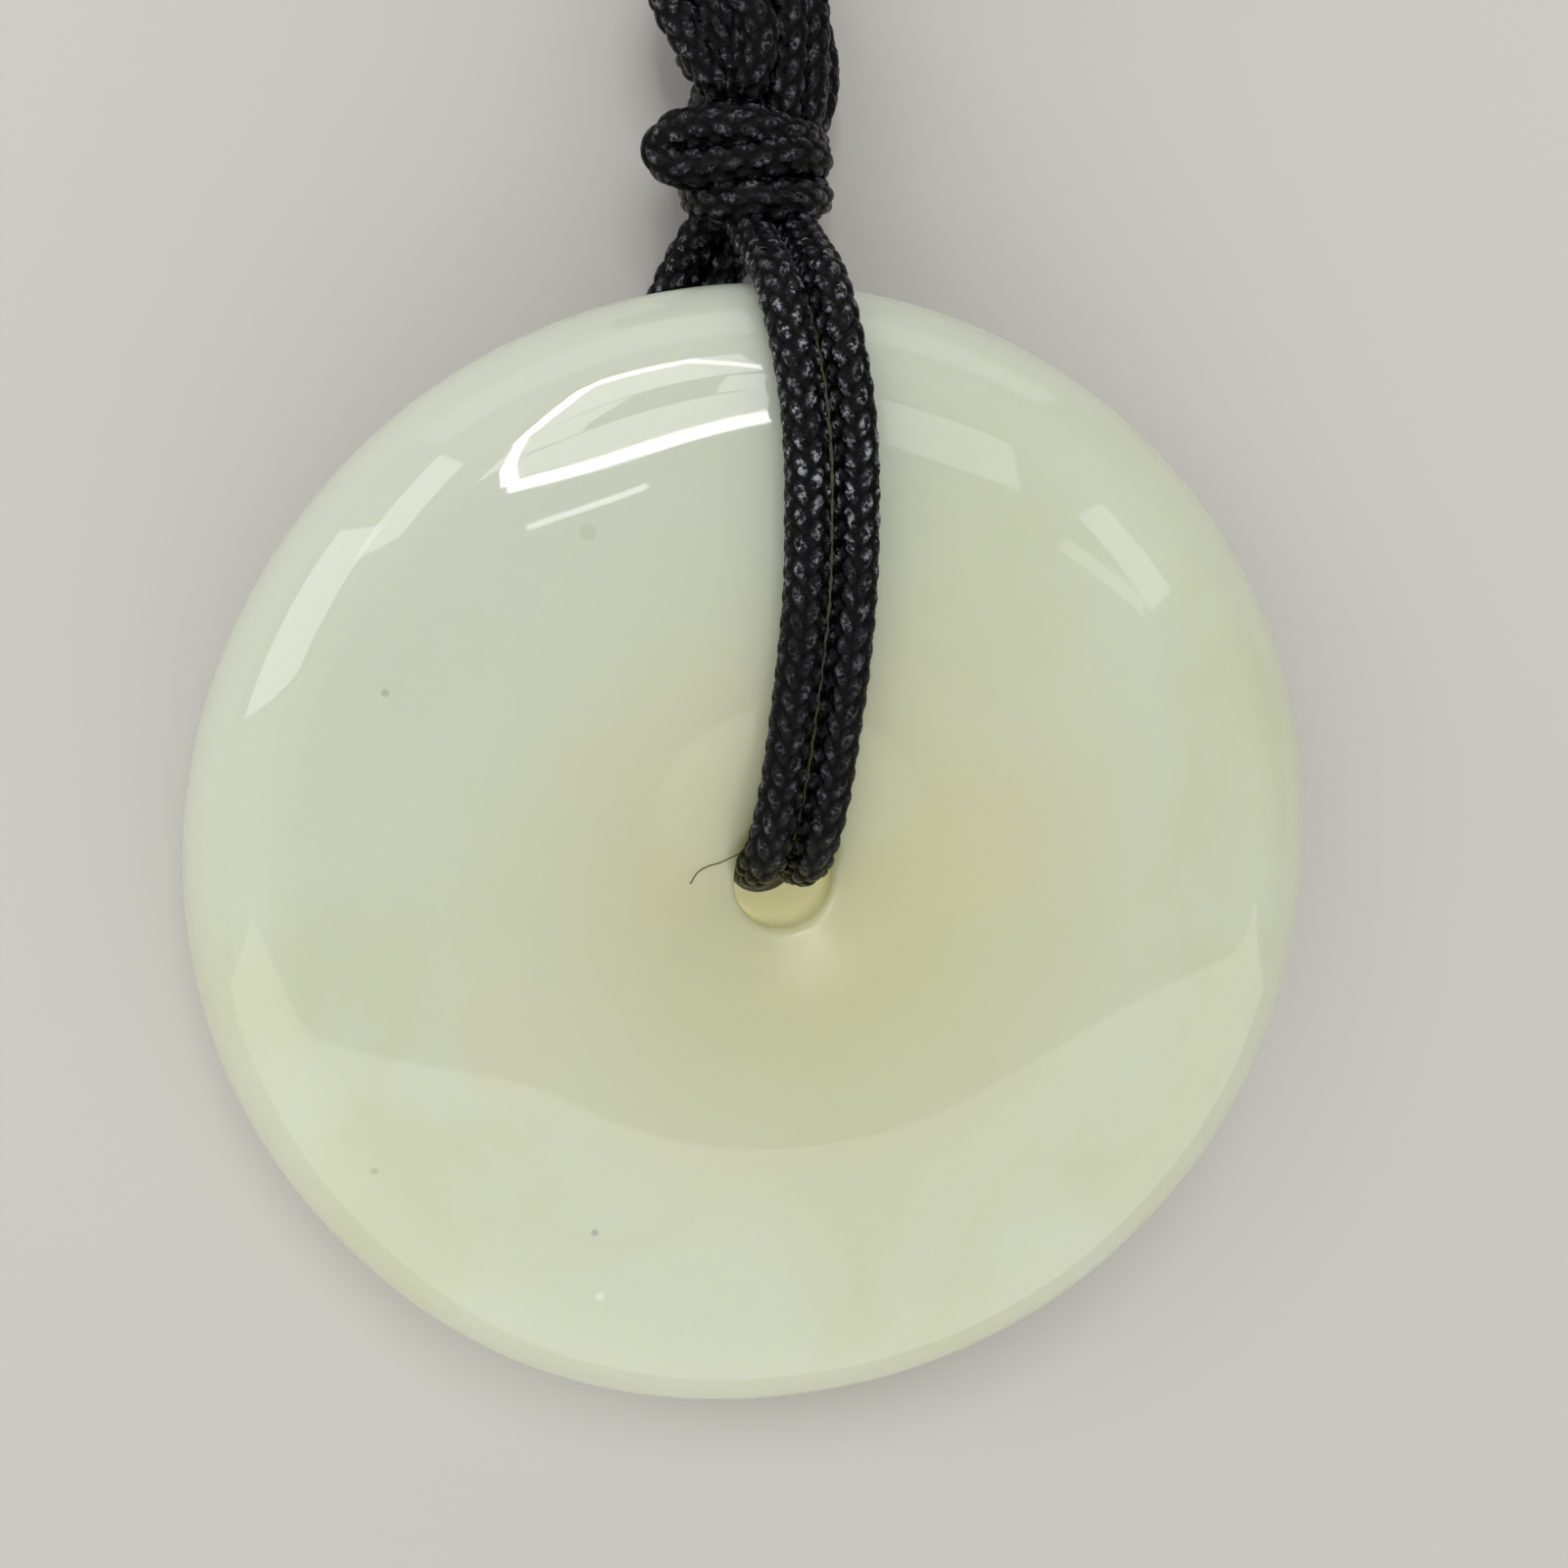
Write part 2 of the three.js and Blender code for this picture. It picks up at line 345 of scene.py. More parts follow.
def mesh_object(name, parts, material):
    """One object from several (points in millimetres, faces, grain)."""
    points, faces, grains = [], [], []
    for part_points, part_faces, grain in parts:
        start = sum(len(p) for p in points)
        points.append(np.asarray(part_points, float) * MM)
        faces += [[start + i for i in f] for f in part_faces]
        grains.append(grain)
    mesh = bpy.data.meshes.new(name)
    mesh.from_pydata(np.vstack(points).tolist(), [], faces)
    mesh.update()
    mesh.polygons.foreach_set("use_smooth", [True] * len(mesh.polygons))
    attribute = mesh.attributes.new("grain", "FLOAT", "POINT")
    attribute.data.foreach_set("value", np.concatenate(grains))
    mesh.materials.append(material)
    o = bpy.data.objects.new(name, mesh)
    bpy.context.scene.collection.objects.link(o)
    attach(o, "root")
    return o


# Materials


class Nodes:
    """A material's node tree, with short ways to add and join nodes."""

    def __init__(self, name):
        self.material = bpy.data.materials.new(name)
        self.material.use_nodes = True
        self.tree = self.material.node_tree
        self.shader = self.tree.nodes["Principled BSDF"]

    def add(self, kind, **inputs):
        node = self.tree.nodes.new(kind)
        for key, value in inputs.items():
            self.put(node, key.replace("_", " "), value)
        return node

    def put(self, node, key, value):
        if isinstance(value, bpy.types.NodeSocket):
            self.tree.links.new(value, node.inputs[key])
        else:
            node.inputs[key].default_value = value

    def math(self, operation, a, b=0.0, clamp=False):
        node = self.tree.nodes.new("ShaderNodeMath")
        node.operation = operation
        node.use_clamp = clamp
        for i, value in enumerate((a, b)):
            self.put(node, i, value)
        return node.outputs[0]

    def vector_math(self, operation, a, b):
        node = self.tree.nodes.new("ShaderNodeVectorMath")
        node.operation = operation
        self.put(node, 0, a)
        self.put(node, 1, b)
        return node.outputs

    def plus(self, a, b):
        return self.math("ADD", a, b)

    def times(self, a, b):
        return self.math("MULTIPLY", a, b)

    def reach(self, a, b):
        """How far the point (a, b) is from the middle."""
        return self.math("SQRT", self.plus(self.times(a, a), self.times(b, b)))

    def ramp(self, value, low, high, to_low=0.0, to_high=1.0):
        node = self.tree.nodes.new("ShaderNodeMapRange")
        node.interpolation_type = "SMOOTHSTEP"
        for i, item in enumerate((value, low, high, to_low, to_high)):
            self.put(node, i, item)
        return node.outputs[0]

    def mix(self, factor, a, b):
        node = self.tree.nodes.new("ShaderNodeMix")
        node.data_type = "RGBA"
        self.put(node, 0, factor)
        self.put(node, 6, a)
        self.put(node, 7, b)
        return node.outputs[2]

    def mix_value(self, factor, a, b):
        node = self.tree.nodes.new("ShaderNodeMix")
        node.data_type = "FLOAT"
        self.put(node, 0, factor)
        self.put(node, 2, a)
        self.put(node, 3, b)
        return node.outputs[0]

    def place(self):
        return self.tree.nodes.new("ShaderNodeTexCoord").outputs["Object"]

    def noise(self, scale, detail=2.0, roughness=0.5, distortion=0.0, vector=None):
        node = self.add("ShaderNodeTexNoise", Scale=scale, Detail=detail, Roughness=roughness)
        self.put(node, "Distortion", distortion)
        self.put(node, "Vector", vector or self.place())
        return node.outputs["Fac"]


# The cord's colours, and the places on +Y where its painted glints, grey flecks that stand in for
# highlights, grow and fade, in millimetres.
DYE = (0.001, 0.001, 0.0014, 1)
WORN_DYE = (0.007, 0.007, 0.009, 1)
GLINT_GREY = (0.36, 0.36, 0.415, 1)
GROOVE_PAINTED_SHADE = (0.0004, 0.0004, 0.0005, 1)
GLINTS_START = (9.0, 15.5)
GLINTS_FADE = (23.5, 27.0)
LOW_GLINTS = 0.3  # beside the hole, as a share of those on the upper half of the face
KNOT_GLINTS = 0.38


def cord_material():
    """Waxed black braid: painted shade in the grooves, which are painted a deeper black, and a
    dull bluish gloss on the tops of the yarns with painted grey glints.
    """
    n = Nodes("waxed_cord")
    attribute = n.tree.nodes.new("ShaderNodeAttribute")
    attribute.attribute_name = "grain"
    grain = attribute.outputs["Fac"]
    dye = n.noise(900, 3)
    wax = n.noise(420, 2)
    top = n.mix(n.ramp(dye, 0.35, 0.7), DYE, WORN_DYE)
    # Painted glints: grey flecks painted on the tops of the yarns stand in for highlights, most
    # of all where the strands cross the disc's face.
    north = n.add("ShaderNodeSeparateXYZ", Vector=n.place()).outputs[1]
    glint_reach = n.times(
        n.ramp(north, GLINTS_START[0] * MM, GLINTS_START[1] * MM, LOW_GLINTS, 1.0),
        n.ramp(north, GLINTS_FADE[0] * MM, GLINTS_FADE[1] * MM, 1.0, KNOT_GLINTS),
    )
    glint_patches = n.ramp(n.noise(750, 2), 0.36, 0.6, 0.3, 1.0)
    tops = n.ramp(grain, 0.4, 0.95, 0.12, 1.0)
    glint_specks = n.ramp(n.noise(4300, 4, 0.65), 0.47, 0.64)
    painted_glint = n.times(glint_specks, n.times(glint_reach, n.times(glint_patches, tops)))
    # Painted highlight: the grey glints are mixed into the colour of the yarn tops.
    top = n.mix(painted_glint, top, GLINT_GREY)
    # Painted shade: the grooves between the yarns are painted darker than the dye, standing in
    # for their shadow.
    n.put(n.shader, "Base Color", n.mix(n.ramp(grain, 0.35, 1.0), GROOVE_PAINTED_SHADE, top))
    gloss = n.ramp(wax, 0.35, 0.65, 0.14, 0.32)
    dull_grooves = n.ramp(grain, 0.1, 0.7, 0.3, 0.0)
    n.put(n.shader, "Roughness", n.math("ADD", gloss, dull_grooves, clamp=True))
    n.shader.inputs["Specular IOR Level"].default_value = 0.12
    fibre = n.noise(4200, 3, 0.6)
    bump = n.add("ShaderNodeBump", Strength=0.9, Distance=0.00008, Height=fibre)
    n.put(n.shader, "Normal", bump.outputs["Normal"])
    return n.material


WAXED = cord_material()


# How fine the meshes of the cord are: the step along it, in millimetres, and the points around.
STRAND_STEP, STRAND_AROUND = 0.1, 56
KNOT_STEP, KNOT_AROUND = 0.11, 48
NECK_STEP, NECK_AROUND = 0.2, 28
PATH_STEP = 1.0
STRAND_SEEDS = {"left": 1, "right": 3}
KNOT_SEED = 7
NECK_SEED = 5


def declare_cord(piece, route, lay, **others):
    path = spline(route, PATH_STEP)


def make_hanging_strands():
    for side, name in ((-1, "left"), (1, "right")):
        route = [(x + side * CORD_SPACING / 2, y, z) for x, y, z in HANGING_ROUTE]
        braid = braid_mesh(spline(route, STRAND_STEP), STRAND_AROUND, STRAND_SEEDS[name])
        piece = mesh_object(f"braided_strand_{name}", [braid], WAXED)
        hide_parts(f"hanging_strand_{name}")
        declare_cord(piece, route, "loose")


# The knots' turns of cord, in millimetres. The closed ones go round the strands inside.
LOWER_WRAP = [
    (-1.85, 28.25, 2.6),
    (-1.95, 27.85, 4.2),
    (-1.5, 27.5, 5.8),
    (-0.3, 27.3, 6.75),
    (1.4, 27.4, 6.5),
    (2.4, 27.75, 5.3),
    (2.55, 28.1, 3.6),
    (2.2, 28.4, 2.0),
    (0.8, 28.6, 1.0),
    (-0.9, 28.55, 1.0),
    (-1.7, 28.45, 1.6),
]
INNER_WRAP = [
    (-2.5, 30.1, 3.3),
    (-1.9, 30.0, 4.9),
    (0.0, 29.9, 5.6),
    (1.9, 29.9, 4.9),
    (2.4, 29.95, 3.3),
    (1.9, 30.0, 1.6),
    (0.0, 30.1, 1.0),
    (-1.9, 30.1, 1.6),
]
# The doubled turn that ends in a round bend on the left.
UPPER_WRAP = [
    (2.0, 30.5, 2.2),
    (2.6, 30.3, 3.4),
    (2.2, 30.05, 4.8),
    (1.2, 30.0, 6.1),
    (-0.5, 30.3, 6.7),
    (-2.2, 30.4, 6.2),
    (-3.4, 30.1, 5.5),
    (-3.8, 29.55, 5.2),
    (-3.4, 28.95, 5.5),
    (-2.2, 28.8, 6.0),
    (-0.6, 28.95, 6.5),
    (1.1, 29.25, 6.3),
    (2.3, 29.35, 5.3),
    (2.65, 29.5, 3.9),
    (2.3, 29.7, 2.4),
]
LEFT_LOBE = [
    (-0.4, 30.9, 4.4),
    (-1.2, 32.0, 5.2),
    (-2.2, 33.5, 5.7),
    (-3.05, 34.9, 5.5),
    (-3.35, 36.1, 4.9),
    (-3.0, 37.4, 3.9),
    (-2.0, 38.2, 3.0),
    (-0.6, 38.4, 2.4),
]
ROUND_BEND = [
    (-2.6, 37.2, 4.6),
    (-1.9, 36.4, 5.8),
    (-1.0, 35.6, 6.5),
    (-0.2, 34.7, 6.7),
    (0.0, 33.8, 6.6),
    (-0.2, 32.9, 6.2),
    (-0.4, 32.0, 5.6),
    (-0.3, 31.0, 4.6),
]
MIDDLE_STRAND = [
    (-1.3, 38.2, 4.0),
    (-1.7, 37.0, 5.2),
    (-1.75, 35.8, 5.9),
    (-1.5, 34.7, 6.1),
    (-1.15, 33.6, 5.9),
    (-0.9, 32.4, 5.3),
    (-0.7, 31.2, 4.4),
]
RIGHT_STRAND = [
    (1.7, 38.5, 3.6),
    (1.5, 36.8, 5.0),
    (1.4, 35.0, 5.6),
    (1.35, 33.3, 5.5),
    (1.2, 31.8, 5.2),
    (1.1, 30.8, 4.6),
]
OUTER_STRAND = [
    (2.2, 38.3, 3.0),
    (2.5, 36.9, 4.2),
    (2.5, 35.2, 4.7),
    (2.45, 33.5, 4.7),
    (2.4, 32.0, 4.5),
    (2.2, 30.9, 4.0),
]
FAR_STRAND = [
    (2.3, 36.6, 3.0),
    (3.0, 35.0, 2.9),
    (3.3, 33.6, 2.8),
    (3.2, 32.4, 2.8),
    (2.8, 31.3, 3.0),
    (2.2, 30.4, 3.4),
]


RING_POINTS = 12


def ring(x, y, z, half_x, half_z):
    """A closed turn of cord round the strands inside a knot."""
    turn = [2 * math.pi * i / RING_POINTS for i in range(RING_POINTS)]
    return [(x + half_x * math.cos(a), y, z + half_z * math.sin(a)) for a in turn]


UPPER_RINGS = [
    ring(0.1, 32.2, 2.7, 1.5, 1.75),
    ring(0.0, 34.0, 2.8, 1.9, 1.85),
    ring(-0.2, 35.8, 2.8, 2.3, 1.85),
    ring(0.0, 37.6, 2.8, 2.3, 1.85),
]


# The strands inside each knot: from which y to which y they run, and the x and z of their middle.
LOWER_CORE = (26.4, 32.0, 0.0, 3.6)
UPPER_CORE = (31.0, 38.9, -0.1, 2.9)
CORE_HALF_X = 0.9
CORE_HALF_Z = 0.95
CORE_WAIST = 0.9  # how near they lie in the middle, as a share of their distance at the ends


def core(y_from, y_to, x, z):
    """Four strands that run through a knot."""
    return [
        [
            (x + sx, y_from, z + sz),
            (x + CORE_WAIST * sx, (y_from + y_to) / 2, z + sz),
            (x + sx, y_to, z + sz),
        ]
        for sx in (-CORE_HALF_X, CORE_HALF_X)
        for sz in (-CORE_HALF_Z, CORE_HALF_Z)
    ]


def make_knot(name, node, closed, open_lines):
    parts = []
    for points in closed:
        middle = np.mean(points, axis=0)
        line = spline(points, KNOT_STEP, closed=True)
        parts.append(braid_mesh(line, KNOT_AROUND, KNOT_SEED + len(parts), closed_about=middle))
    for points in open_lines:
        line = spline(points, KNOT_STEP)
        parts.append(braid_mesh(line, KNOT_AROUND, KNOT_SEED + len(parts)))
    piece = mesh_object(name, parts, WAXED)
    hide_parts(node)
    return piece


def make_neck_cord(knots):
    route = FIRST_LEAD_ROUTE + coil_route() + LAST_LEAD_ROUTE
    braid = braid_mesh(spline(route, NECK_STEP), NECK_AROUND, NECK_SEED, yarns=NECK_YARNS)
    piece = mesh_object("braided_neck_cord", [braid], WAXED)
    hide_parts("neck_cord_first_end", "neck_cord_last_end", "neck_cord_coil")
    declare_cord(piece, route, "coiled", with_pieces=knots)


LOWER_TURNS = [LOWER_WRAP, INNER_WRAP]
LOWER_STRANDS = [UPPER_WRAP] + core(*LOWER_CORE)
UPPER_STRANDS = [
    LEFT_LOBE,
    ROUND_BEND,
    MIDDLE_STRAND,
    RIGHT_STRAND,
    OUTER_STRAND,
    FAR_STRAND,
] + core(*UPPER_CORE)

make_hanging_strands()
lower = make_knot("lower_knot_turns", "lower_knot", LOWER_TURNS, LOWER_STRANDS)
upper = make_knot("upper_knot_turns", "upper_knot", UPPER_RINGS, UPPER_STRANDS)
make_neck_cord([lower, upper])


# Jade


def arc(x, y, radius, start, end, steps):
    angles = [start + (end - start) * i / steps for i in range(steps + 1)]
    return [(x + radius * math.cos(a), y + radius * math.sin(a)) for a in angles]


# How many steps each stretch of the disc's section has.
WALL_STEPS = 10
MOUTH_STEPS = 12
DISH_STEPS = 16
DOME_STEPS = 20
RIM_STEPS = 24
BACK_EDGE_STEPS = 20
BACK_STEPS = 24
BACK_MOUTH_STEPS = 10
DISC_AROUND = 256


def disc_section(mouth_round):
    """The disc's section from the hole out over the face, round the rim and back underneath."""
    quarter = math.pi / 2
    mouth_x = HOLE_RADIUS + mouth_round
    mouth_slope = join_slope(CREST_RADIUS - mouth_x, DISH_CURVE, mouth_round)
    dish_y = DISC_THICKNESS - DISH_CURVE
    dome_y = DISC_THICKNESS - DOME_CURVE
    mouth_y = dish_y + (DISH_CURVE - mouth_round) * math.cos(mouth_slope)
    mouth_end, dome_end = quarter + mouth_slope, quarter - RIM_SLOPE
    back = BACK_MOUTH_ROUND
    back_mouth_x = HOLE_RADIUS + back
    wall_shares = [i / WALL_STEPS for i in range(1, WALL_STEPS)]
    back_shares = [i / BACK_STEPS for i in range(1, BACK_STEPS)]
    return (
        [(HOLE_RADIUS, back + (mouth_y - back) * share) for share in wall_shares]
        + arc(mouth_x, mouth_y, mouth_round, math.pi, mouth_end, MOUTH_STEPS)
        + arc(CREST_RADIUS, dish_y, DISH_CURVE, mouth_end, quarter, DISH_STEPS)[1:]
        + arc(CREST_RADIUS, dome_y, DOME_CURVE, quarter, dome_end, DOME_STEPS)[1:]
        + arc(RIM_X, RIM_Y, RIM_ROUND, dome_end, 0, RIM_STEPS)[1:]
        + arc(BACK_X, RIM_Y, RIM_Y, 0, -quarter, BACK_EDGE_STEPS)[1:]
        + [(BACK_X + (back_mouth_x - BACK_X) * share, 0.0) for share in back_shares]
        + arc(back_mouth_x, back, back, -quarter, -math.pi, BACK_MOUTH_STEPS)
    )


# How far the rim stands out or in by hand, in millimetres, by its angle in degrees.
RIM_BULGES = {
    -180: 0.05,
    -163: 0.1,
    -140: 0.0,
    -116: 0.1,
    -86: -0.12,
    -60: 0.0,
    -34: 0.14,
    -6: -0.12,
    25: 0.0,
    180: 0.05,
}

# What sets the polished disc off from a true turned one, in millimetres.
HAND_POLISH = 0.05  # how far the face wanders
POLISH_WAVES = 0.11  # how many rises the face has in a millimetre
TRUE_MARGIN = 1  # how far round the hole the face is true, and over how much it starts to wander
TRUE_FADE = 3
RIM_INSET, FACE_INSET = 0.0192, 0.02  # how far the disc stays inside the turned one
SHARP_MOUTH_ROUND = 0.5  # the hole's edge where no cord has worn it
WEAR_START, WEAR_SPAN = 0.1, 0.5  # the sines of the angle over which the wear sets in
WALL_RIDGE = 0.4  # how far the drilled wall stands in, low down on its lower side
RIDGE_HEIGHT, RIDGE_SPREAD = 2.6, 1.5
RIDGE_FOOT = 0.2  # at and below this height the wall is true
FRONT_START, FRONT_SPAN = 1.0, 4  # the heights over which the face's wander sets in


def ridge(r, z, s):
    """How far the hole's wall stands in at a point whose angle has the sine s."""
    if r >= CREST_RADIUS or z <= RIDGE_FOOT:
        return 0.0
    return WALL_RIDGE * smooth(-2 * s) * math.exp(-(((z - RIDGE_HEIGHT) / RIDGE_SPREAD) ** 2))


def disc_points():
    worn = np.array(disc_section(FRONT_MOUTH_ROUND))
    sharp = np.array(disc_section(SHARP_MOUTH_ROUND))
    points = []
    for k in range(DISC_AROUND):
        angle = 2 * math.pi * k / DISC_AROUND - math.pi
        c, s = math.cos(angle), math.sin(angle)
        bulge = np.interp(math.degrees(angle), list(RIM_BULGES), list(RIM_BULGES.values()))
        wear = smooth((s - WEAR_START) / WEAR_SPAN)
        for r, z in wear * worn + (1 - wear) * sharp:
            wander = noise.noise(Vector((r * c, r * s, z)) * POLISH_WAVES) * HAND_POLISH
            wander *= smooth((r - HOLE_RADIUS - TRUE_MARGIN) / TRUE_FADE)
            r -= ridge(r, z, s)
            hand = bulge * smooth((r - CREST_RADIUS) / (DISC_RADIUS - CREST_RADIUS))
            scale = 1 + (wander + hand - RIM_INSET) / DISC_RADIUS
            front = smooth((z - FRONT_START) / FRONT_SPAN)
            points.append((r * c * scale, r * s * scale, z + (wander - FACE_INSET) * front))
    return points, len(worn)


def make_disc(material):
    points, rows = disc_points()
    faces = []
    for k in range(DISC_AROUND):
        here, there = k * rows, ((k + 1) % DISC_AROUND) * rows
        for i in range(rows):
            j = (i + 1) % rows
            faces.append([here + i, here + j, there + j, there + i])
    placed = [tuple(DISC_TO_SCENE @ Vector(p)) for p in points]
    part = (placed, faces, np.zeros(len(placed)))
    piece = mesh_object("polished_jade_disc", [part], material)
    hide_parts("jade_disc")


# Small flaws in the stone: the place of each in the disc's frame, how far it reaches, in
# millimetres, how strong it is and its colour.
STONE_MARKS = {
    (-15.78, 8.29, 8.4): (0.2, 0.45, (0.3, 0.31, 0.24, 1)),
    (-8.1, -14.1, 8.56): (0.2, 0.5, (0.3, 0.3, 0.24, 1)),
    (-16.83, -11.0, 8.12): (0.2, 0.4, (0.34, 0.34, 0.26, 1)),
    (-7.91, -16.98, 8.3): (0.25, 0.5, (0.86, 0.88, 0.8, 1)),
    (-7.91, 14.34, 8.54): (0.4, 0.35, (0.45, 0.46, 0.36, 1)),
    (8.2, 1.6, 8.7): (4.2, 0.2, (0.66, 0.6, 0.38, 1)),
    (-11.38, -5.62, 8.76): (3.0, 0.16, (0.68, 0.62, 0.42, 1)),
    (-4.9, 0.3, 8.2): (2.6, 0.2, (0.68, 0.62, 0.4, 1)),
}


PALE_JADE = (0.645, 0.68, 0.54, 1)
GREEN_JADE = (0.615, 0.65, 0.475, 1)
HONEY_JADE = (0.58, 0.575, 0.33, 1)
COOL_JADE = (0.62, 0.655, 0.56, 1)
PAINTED_WALL_LIGHT = (0.62, 0.6, 0.36, 1)

# Where the stone changes, in millimetres.
UPPER_LEFT = (-0.5, 0.87)
COOL_FROM, COOL_TO = 6, 24  # toward the upper left
HONEY_MIDDLE = (1.5, -1.5)
HONEY_FROM, HONEY_TO = 4, 21  # away from that middle
CLOUD_SHIFT = 8  # how far the clouds move the edge of the honey colour
WISP_SHIFT = 6  # and the wisps the edge of the cool one
WALL_RADII = (2.1, 2.7)  # from the disc's axis
WALL_HEIGHTS = (4.8, 8.0)  # above the disc's back
DULL_RADII = (4.0, 8.5)  # the middle of the dish, which is less polished
DULL_ROUGHNESS = 0.23

# Painted light: a glow emitted from the wall of the hole, standing in for light carried through
# the translucent stone.
PAINTED_WALL_GLOW_COLOUR = (1.0, 0.95, 0.5, 1)
PAINTED_WALL_GLOW = 0.38


def jade_material():
    """Pale celadon jade: cloudy, faintly translucent, yellower near the hole, with a painted glow
    and painted yellow light on the wall of the hole.
    """
    n = Nodes("celadon_jade")
    place = n.place()
    clouds = n.noise(95, 4, 0.55, 0.6, place)
    wisps = n.noise(240, 5, 0.6, 1.4, place)
    body = n.mix(n.ramp(clouds, 0.35, 0.68), PALE_JADE, GREEN_JADE)
    body = n.mix(n.ramp(wisps, 0.52, 0.8, 0.0, 0.25), body, PALE_JADE)
    x, y, z = n.add("ShaderNodeSeparateXYZ", Vector=place).outputs
    upper_left = n.plus(n.times(x, UPPER_LEFT[0]), n.times(y, UPPER_LEFT[1]))
    upper_left = n.plus(upper_left, n.times(wisps, WISP_SHIFT * MM))
    coolness = n.ramp(upper_left, COOL_FROM * MM, COOL_TO * MM, 0.0, 0.9)
    body = n.mix(coolness, body, COOL_JADE)
    away = n.reach(n.plus(x, -HONEY_MIDDLE[0] * MM), n.plus(y, -HONEY_MIDDLE[1] * MM))
    away = n.plus(away, n.times(clouds, CLOUD_SHIFT * MM))
    body = n.mix(n.ramp(away, HONEY_FROM * MM, HONEY_TO * MM, 0.85, 0.0), body, HONEY_JADE)
    for spot, (reach, strength, colour) in STONE_MARKS.items():
        gap = n.vector_math("DISTANCE", place, DISC_TO_SCENE @ Vector(spot) * MM)["Value"]
        mark = n.ramp(gap, reach * 0.5 * MM, reach * MM, strength, 0.0)
        body = n.mix(mark, body, colour)
    # The wall of the hole is painted yellower and given a painted glow, standing in for light
    # carried through the stone. Round it the stone is duller.
    across, above = (
        n.plus(n.plus(n.times(y, row[1]), n.times(z, row[2])), row[3] * MM)
        for row in DISC_TO_SCENE.inverted()[1:3]
    )
    axis_gap = n.reach(x, across)
    inside = n.ramp(axis_gap, WALL_RADII[0] * MM, WALL_RADII[1] * MM, 1.0, 0.0)
    deep = n.ramp(above, WALL_HEIGHTS[0] * MM, WALL_HEIGHTS[1] * MM, 1.0, 0.0)
    wall = n.times(inside, deep)
    n.put(n.shader, "Base Color", n.mix(wall, body, PAINTED_WALL_LIGHT))
    n.shader.inputs["Emission Color"].default_value = PAINTED_WALL_GLOW_COLOUR
    n.put(n.shader, "Emission Strength", n.times(wall, PAINTED_WALL_GLOW))
    polish = n.ramp(wisps, 0.3, 0.7, 0.02, 0.035)
    dull = n.ramp(axis_gap, DULL_RADII[0] * MM, DULL_RADII[1] * MM, DULL_ROUGHNESS, 0.0)
    n.put(n.shader, "Roughness", n.plus(polish, dull))
    n.shader.inputs["IOR"].default_value = 1.61
    n.shader.inputs["Subsurface Weight"].default_value = 0.85
    n.shader.inputs["Subsurface Radius"].default_value = (1.0, 0.95, 0.55)
    n.put(n.shader, "Subsurface Scale", n.mix_value(wall, 0.004, 0.007))
    return n.material


# A fibre of the cord that lies on the face beside the hole, in millimetres.
LOOSE_FIBRE = [
    (-3.98, -0.22, 9.88),
    (-3.65, 0.24, 9.86),
    (-3.24, 0.45, 9.78),
    (-2.69, 0.57, 9.65),
    (-2.15, 0.78, 9.54),
    (-1.6, 1.0, 9.6),
]
FIBRE_RADIUS = 0.022
FIBRE_STEP = 0.08
FIBRE_SIDES = 6
FIBRE_GRAIN = 0.4  # between a groove of the braid, 0, and the top of a yarn, 1


def make_loose_fibre():
    line = spline(LOOSE_FIBRE, FIBRE_STEP)
    normal, across = frames(line)
    points, faces = [], []
    sides = FIBRE_SIDES
    for p, n, b in zip(line, normal, across):
        for k in range(sides):
            a = 2 * math.pi * k / sides
            points.append(p + FIBRE_RADIUS * (math.cos(a) * n + math.sin(a) * b))
    for i in range(len(line) - 1):
        for k in range(sides):
            m = (k + 1) % sides
            here, there = i * sides, (i + 1) * sides
            faces.append([here + k, here + m, there + m, there + k])
    faces.append(list(range(sides))[::-1])
    faces.append([(len(line) - 1) * sides + k for k in range(sides)])
    part = (points, faces, np.full(len(points), FIBRE_GRAIN))
    mesh_object("loose_fibre", [part], WAXED)


make_disc(jade_material())
make_loose_fibre()


# Floor and light

FLOOR_SIZE = 1.2  # in metres
FLOOR_COLOUR = (0.62, 0.6, 0.56, 1)


def make_floor():
    n = Nodes("pale_floor")
    n.shader.inputs["Base Color"].default_value = FLOOR_COLOUR
    n.shader.inputs["Roughness"].default_value = 0.8
    half = FLOOR_SIZE / 2
    corners = [(-half, -half, 0), (half, -half, 0), (half, half, 0), (-half, half, 0)]
    mesh = bpy.data.meshes.new("floor")
    mesh.from_pydata(corners, [], [[0, 1, 2, 3]])
    mesh.materials.append(n.material)
    floor = bpy.data.objects.new("floor", mesh)
    bpy.context.scene.collection.objects.link(floor)


def area_light(name, place, facing, size, radiance, colour=(1, 1, 1), side=(0, 0, 1)):
    """A soft panel. Its width lies across facing and side, and its sizes are in metres."""
    data = bpy.data.lights.new(name, "AREA")
    data.shape = "RECTANGLE"
    data.size, data.size_y = size
    data.energy = math.pi * size[0] * size[1] * radiance
    data.color = colour
    light = bpy.data.objects.new(name, data)
    back = -Vector(facing).normalized()
    across = Vector(side).cross(back).normalized()
    turn = Matrix((across, back.cross(across), back)).transposed().to_4x4()
    light.matrix_world = Matrix.Translation(place) @ turn
    bpy.context.scene.collection.objects.link(light)


ROOM_LIGHT = 0.375
CEILING = 0.6  # its height, in metres

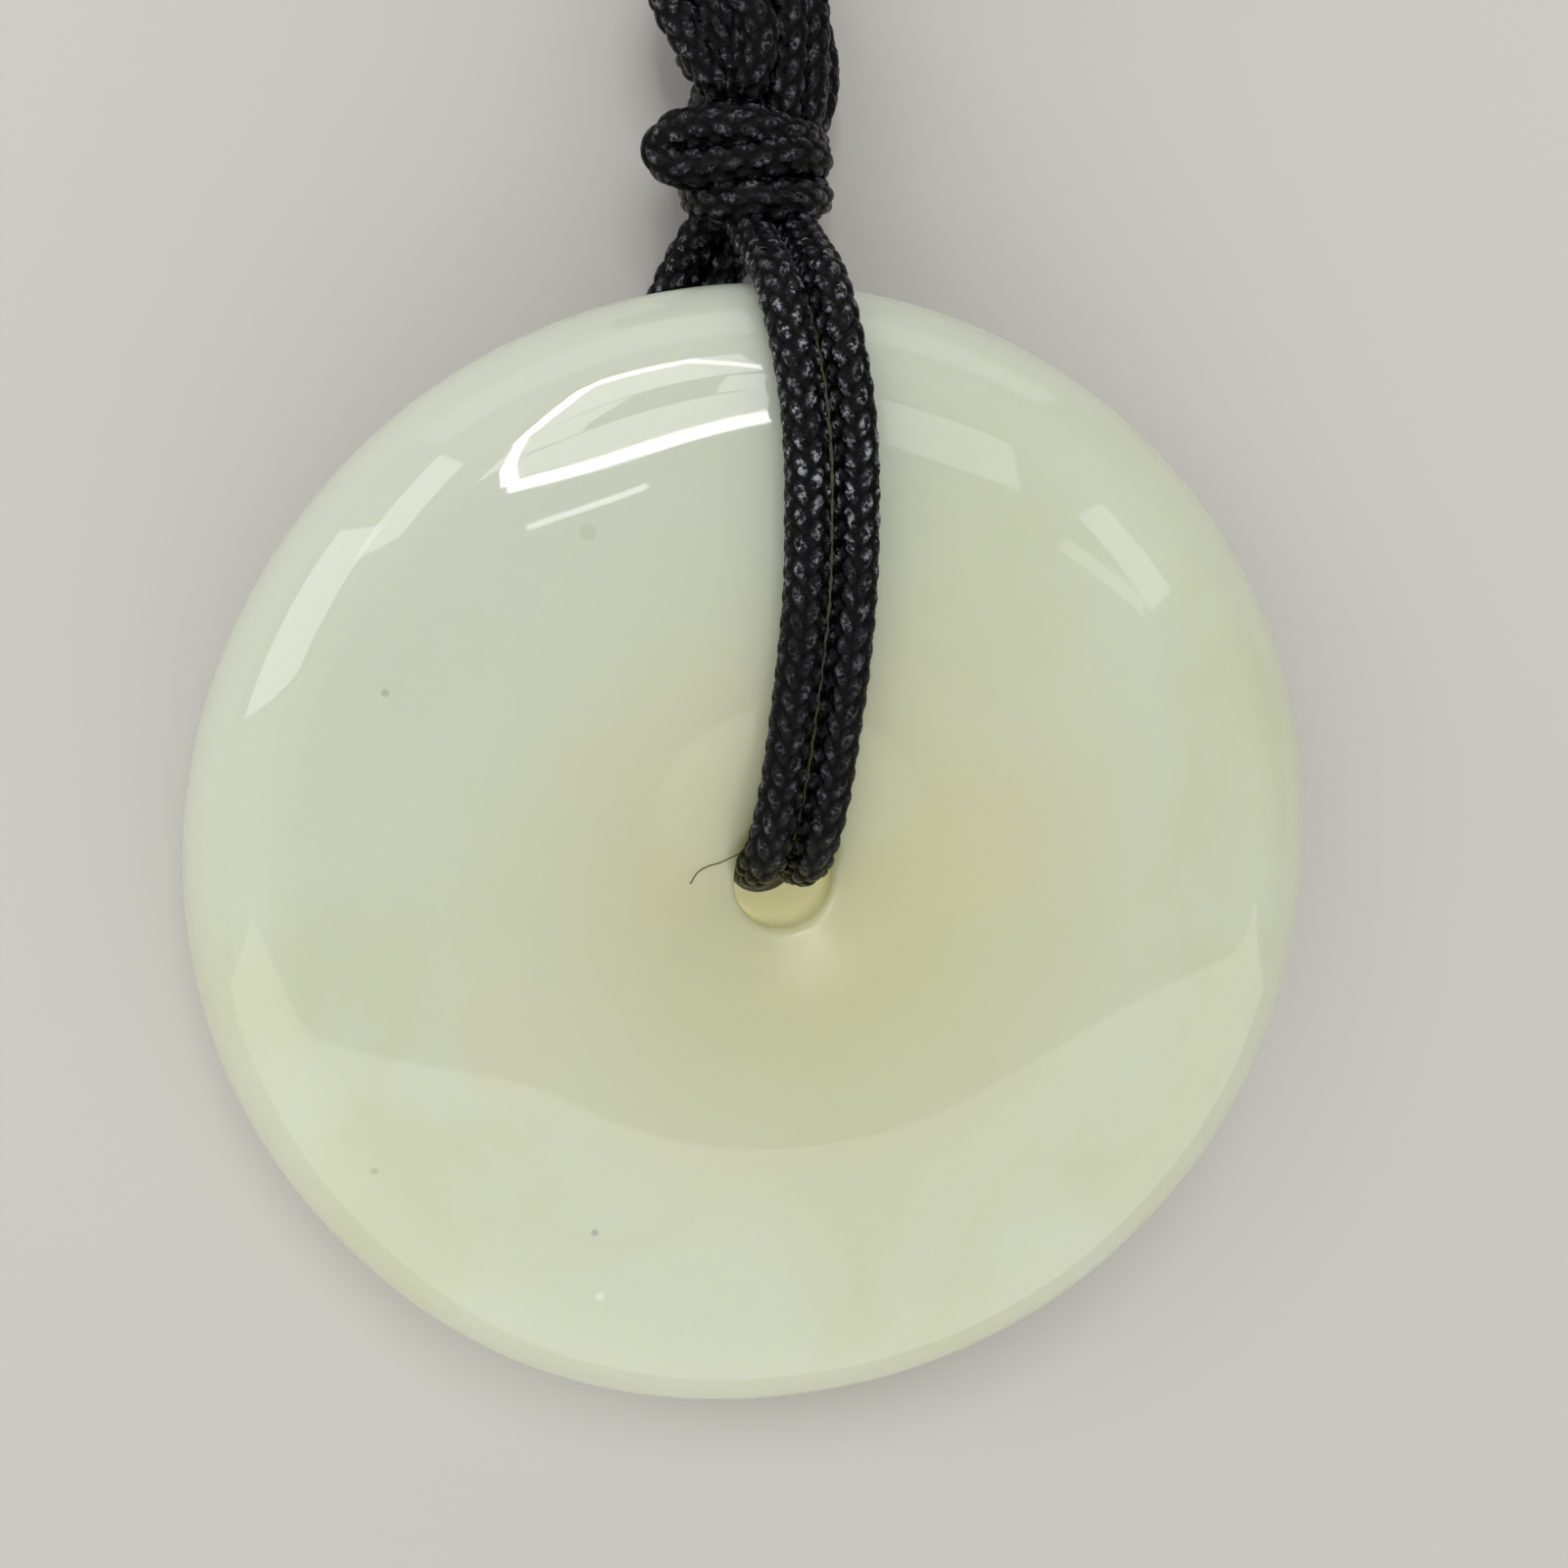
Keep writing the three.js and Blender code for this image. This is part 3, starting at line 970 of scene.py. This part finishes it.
# Upright panels: the place, the direction each faces, its width and height in metres, how bright
# it is beside the room, and its colour.
UPRIGHT_PANELS = {
    "south_panel": ((0.02, -0.6, 0.6), (0, 1, 0), (2.85, 1.2), 0.78, (1.0, 0.99, 0.96)),
    "left_window": ((-0.6, 0.27, 0.41), (1, 0, 0), (0.32, 0.56), 2.0, (1, 1, 1)),
    "left_high_window": ((-0.6, 0.54, 0.95), (1, 0, 0), (0.4, 0.75), 2.1, (1, 1, 1)),
    "north_panel": ((0.1, 0.9, 0.25), (0, -1, 0), (1.6, 0.5), 0.7, (0.94, 0.98, 1.0)),
}

# Panels that face down from the ceiling: two ends and the width, as shares of its height, and
# how bright each is beside the room.
CEILING_PANELS = {
    "lamp_lower_edge": ((-0.095, 0.116), (0.19, 0.162), 0.018, 11.0),
    "lamp_left_edge": ((-0.091, 0.122), (-0.2, 0.4), 0.028, 12.0),
    "lamp_far_left_edge": ((-0.2, 0.4), (-0.24, 0.9), 0.05, 12.0),
    "lamp_upper_edge": ((-0.24, 0.9), (0.0, 0.82), 0.12, 9.0),
    "lamp_right_edge": ((0.0, 0.82), (0.19, 0.42), 0.04, 8.0),
    "lamp_low": ((-0.09, 0.155), (0.19, 0.19), 0.05, 2.4),
    "lamp_left": ((-0.105, 0.19), (-0.105, 0.37), 0.17, 2.4),
    "lamp_right": ((0.145, 0.21), (0.145, 0.37), 0.09, 2.6),
    "lamp_high": ((-0.015, 0.39), (-0.06, 0.85), 0.36, 2.6),
    "thin_line": ((-0.063, 0.05), (0.058, 0.086), 0.01, 4.4),
    "right_small": ((0.3, 0.17), (0.46, 0.15), 0.08, 1.2),
    "right_panel": ((0.56, 0.11), (0.665, -0.03), 0.08, 1.5),
    "right_strip": ((0.49, 0.03), (0.62, -0.05), 0.03, 1.1),
}


def make_light():
    world = bpy.data.worlds.new("studio")
    bpy.context.scene.world = world
    world.use_nodes = True
    background = world.node_tree.nodes["Background"]
    background.inputs["Color"].default_value = (1.0, 1.0, 1.0, 1)
    background.inputs["Strength"].default_value = ROOM_LIGHT
    bpy.context.scene.view_settings.view_transform = "Standard"
    for name, panel in UPRIGHT_PANELS.items():
        area_light(name, *panel)
    for name, (start, end, width, radiance) in CEILING_PANELS.items():
        a, b = Vector((*start, 1)) * CEILING, Vector((*end, 1)) * CEILING
        size = (width * CEILING, (b - a).length)
        area_light(name, (a + b) / 2, (0, 0, -1), size, radiance, side=b - a)


make_floor()
make_light()
